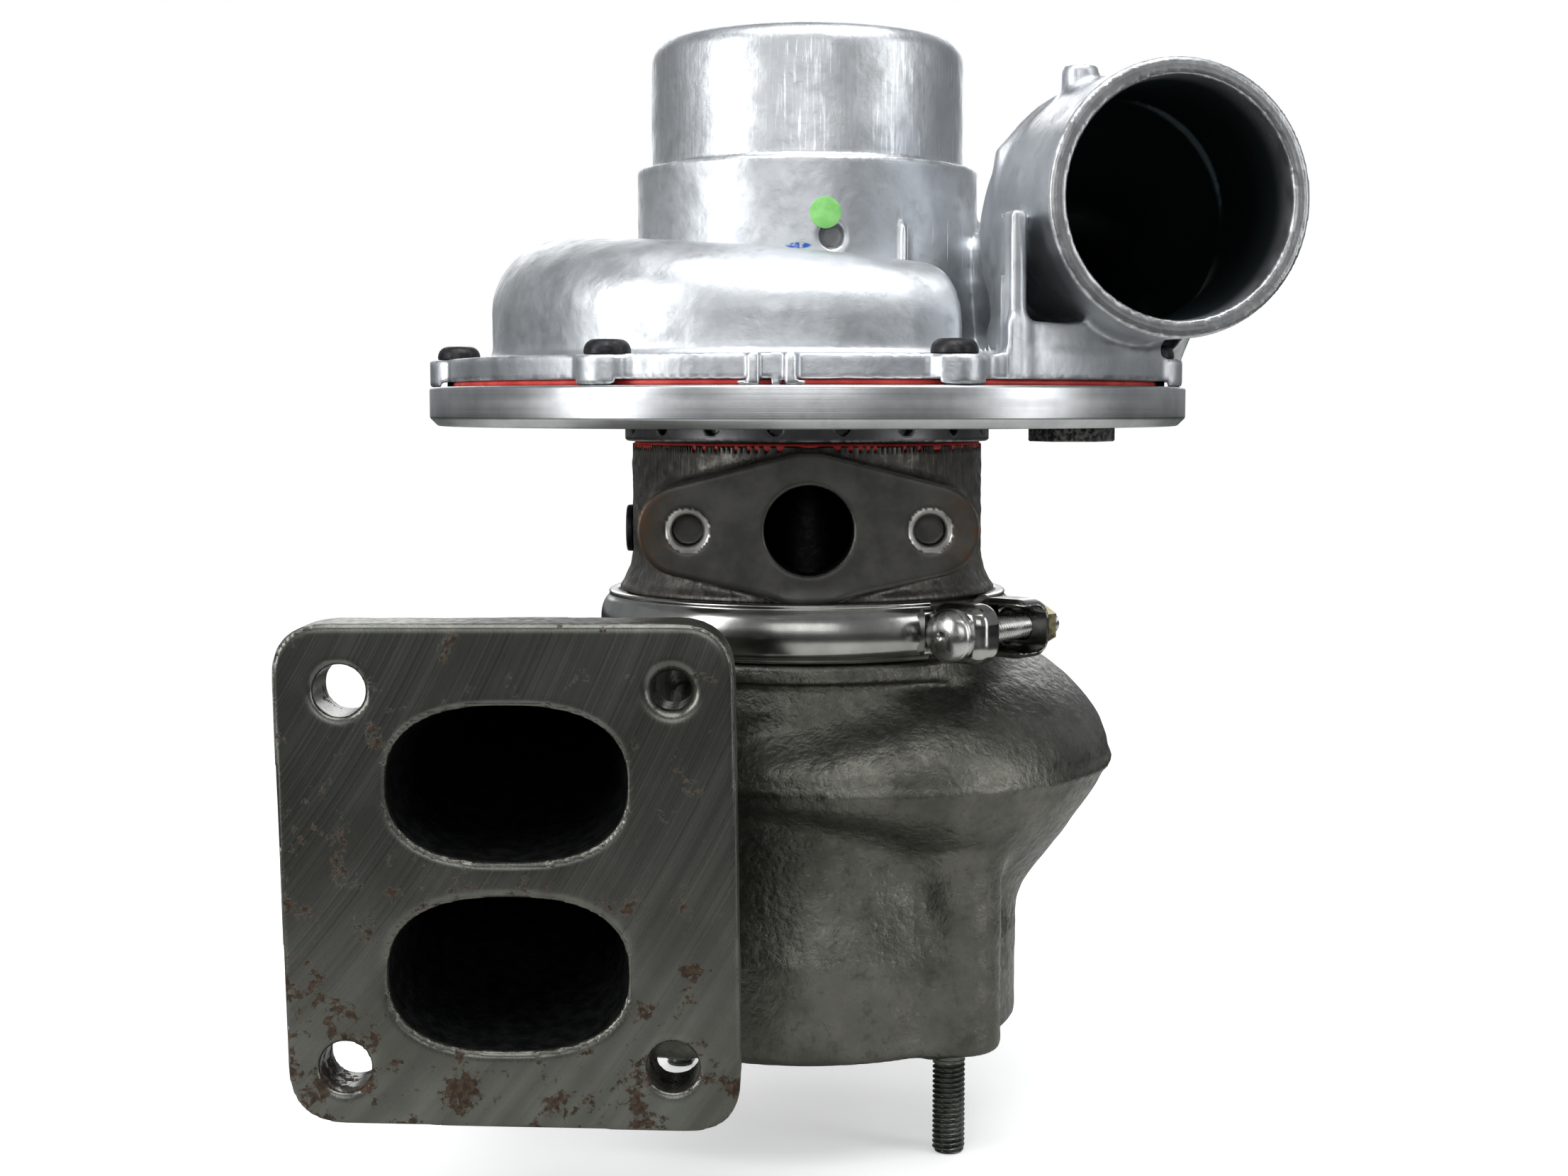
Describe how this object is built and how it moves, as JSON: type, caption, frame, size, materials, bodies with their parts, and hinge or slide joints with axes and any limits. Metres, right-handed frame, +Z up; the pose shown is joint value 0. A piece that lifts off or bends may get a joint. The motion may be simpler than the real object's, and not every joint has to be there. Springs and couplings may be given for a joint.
{
  "type": "turbocharger",
  "caption": "Vehicle turbocharger stood on its exhaust outlet: cast compressor cover above, bearing housing and V-band clamp, twin-entry turbine housing below.",
  "frame": {"origin": "centre of the exhaust outlet's mouth, on the rotor's axis", "axes": "+Z up along the rotor's axis from the turbine to the compressor; -Y towards the side that holds the turbine inlet flange, the oil drain and the compressor outlet"},
  "size_m": [0.2242, 0.197, 0.2727],
  "materials": {
    "cast_aluminium": "satin cast and tumbled",
    "turned_aluminium": "fine turned",
    "black_steel": "black oxide",
    "red_seal": "matt",
    "bearing_iron": "dark, fairly smooth cast",
    "turbine_iron": "rough cast",
    "plain_steel": "turned",
    "polished_steel": "polished stainless",
    "stud_steel": "oiled, greenish black",
    "yellow_zinc": "yellow zinc",
    "dark_alloy": "cast nickel alloy and ground steel",
    "bearing_bronze": "fine turned bronze"
  },
  "bodies": {
    "casing": {"compressor_cover": "cast_aluminium", "cover_screws": "black_steel", "cover_o_ring": "red_seal", "seal_plate": "turned_aluminium", "seal_plate_screws": "black_steel", "seal_plate_plug": "black_steel", "hub_ring": "turned_aluminium", "housing_o_ring": "red_seal", "bearing_housing": "bearing_iron", "side_plug": "black_steel", "thrust_bearing": "bearing_bronze", "oil_deflector": "plain_steel", "bearing_circlips": "plain_steel", "shaft_seal_rings": "plain_steel", "heat_shield": "plain_steel", "turbine_housing": "turbine_iron", "locating_pin": "plain_steel", "exhaust_studs": "stud_steel", "v_band": "polished_steel", "t_bolt": "polished_steel", "clamp_washer": "polished_steel", "clamp_nut": "yellow_zinc"},
    "rotor": {"turbine_wheel_and_shaft": "dark_alloy", "thrust_collar": "plain_steel", "oil_flinger": "plain_steel", "compressor_wheel": "turned_aluminium", "shaft_nut": "plain_steel"},
    "bearing_lower": {"journal_bearing_lower": "bearing_bronze"},
    "bearing_upper": {"journal_bearing_upper": "bearing_bronze"}
  },
  "joints": [
    {"name": "rotor_spin", "type": "hinge", "parent": "casing", "child": "rotor", "pos_m": [0, 0, 0], "axis": [0, 0, 1], "continuous": true},
    {"name": "lower_bearing_spin", "type": "hinge", "parent": "casing", "child": "bearing_lower", "pos_m": [0, 0, 0], "axis": [0, 0, 1], "continuous": true},
    {"name": "upper_bearing_spin", "type": "hinge", "parent": "casing", "child": "bearing_upper", "pos_m": [0, 0, 0], "axis": [0, 0, 1], "continuous": true}
  ],
  "couplings": [
    {"joint": "lower_bearing_spin", "follows": "rotor_spin", "ratio": 0.3},
    {"joint": "upper_bearing_spin", "follows": "rotor_spin", "ratio": 0.3}
  ]
}
